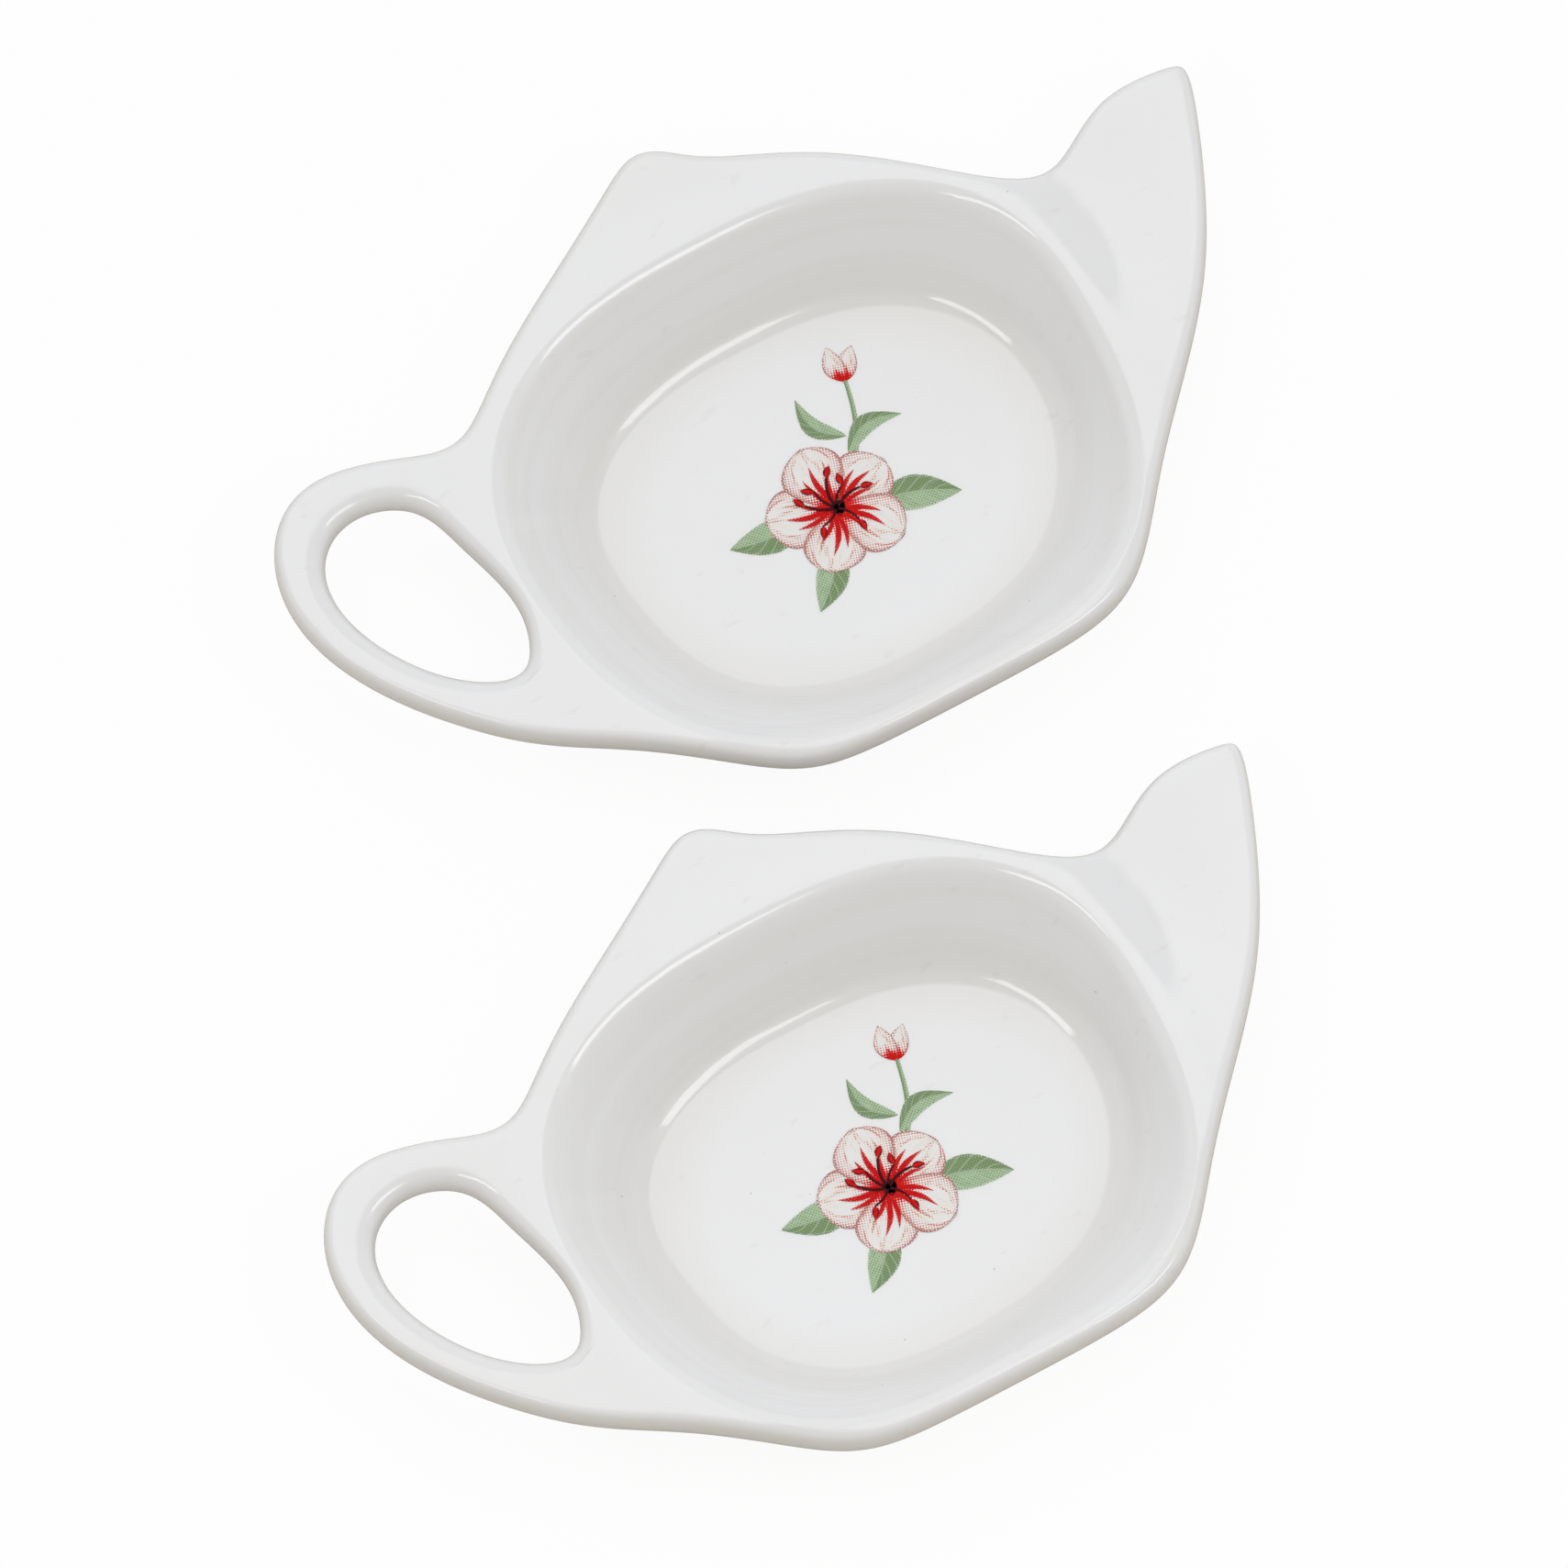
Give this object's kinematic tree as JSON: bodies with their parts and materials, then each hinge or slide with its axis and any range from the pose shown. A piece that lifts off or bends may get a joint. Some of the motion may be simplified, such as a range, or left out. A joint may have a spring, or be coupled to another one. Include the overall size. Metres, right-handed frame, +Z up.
{
  "type": "tea bag rest",
  "caption": "Shallow teapot-shaped rest of glazed porcelain for used tea bags, with its twin: rounded well, flat lid and spout, open handle, foot ring, printed spray.",
  "frame": {"origin": "middle of the plan of both rests, on the table they stand on", "axes": "+X from the handles to the spouts, +Y from the base line of the teapot shape to its lid knob, +Z up"},
  "size_m": [0.1637, 0.1554, 0.0144],
  "materials": {
    "porcelain": "white porcelain under a clear glossy glaze, unglazed on the foot ring",
    "leaf_ink": "sage green transfer ink under the glaze",
    "petal_ink": "cream and blush transfer ink under the glaze",
    "vein_ink": "red transfer ink under the glaze",
    "stamen_ink": "dark maroon transfer ink under the glaze"
  },
  "bodies": {
    "back_rest": {"back_dish": "porcelain", "back_leaf_ink": "leaf_ink", "back_petal_ink": "petal_ink", "back_vein_ink": "vein_ink", "back_stamen_ink": "stamen_ink"},
    "front_rest": {"front_dish": "porcelain", "front_leaf_ink": "leaf_ink", "front_petal_ink": "petal_ink", "front_vein_ink": "vein_ink", "front_stamen_ink": "stamen_ink"}
  },
  "joints": [
    {"name": "front_rest_lift", "type": "slide", "parent": "back_rest", "child": "front_rest", "axis": [0, 0, 1], "range_m": [0, 0.05]}
  ]
}
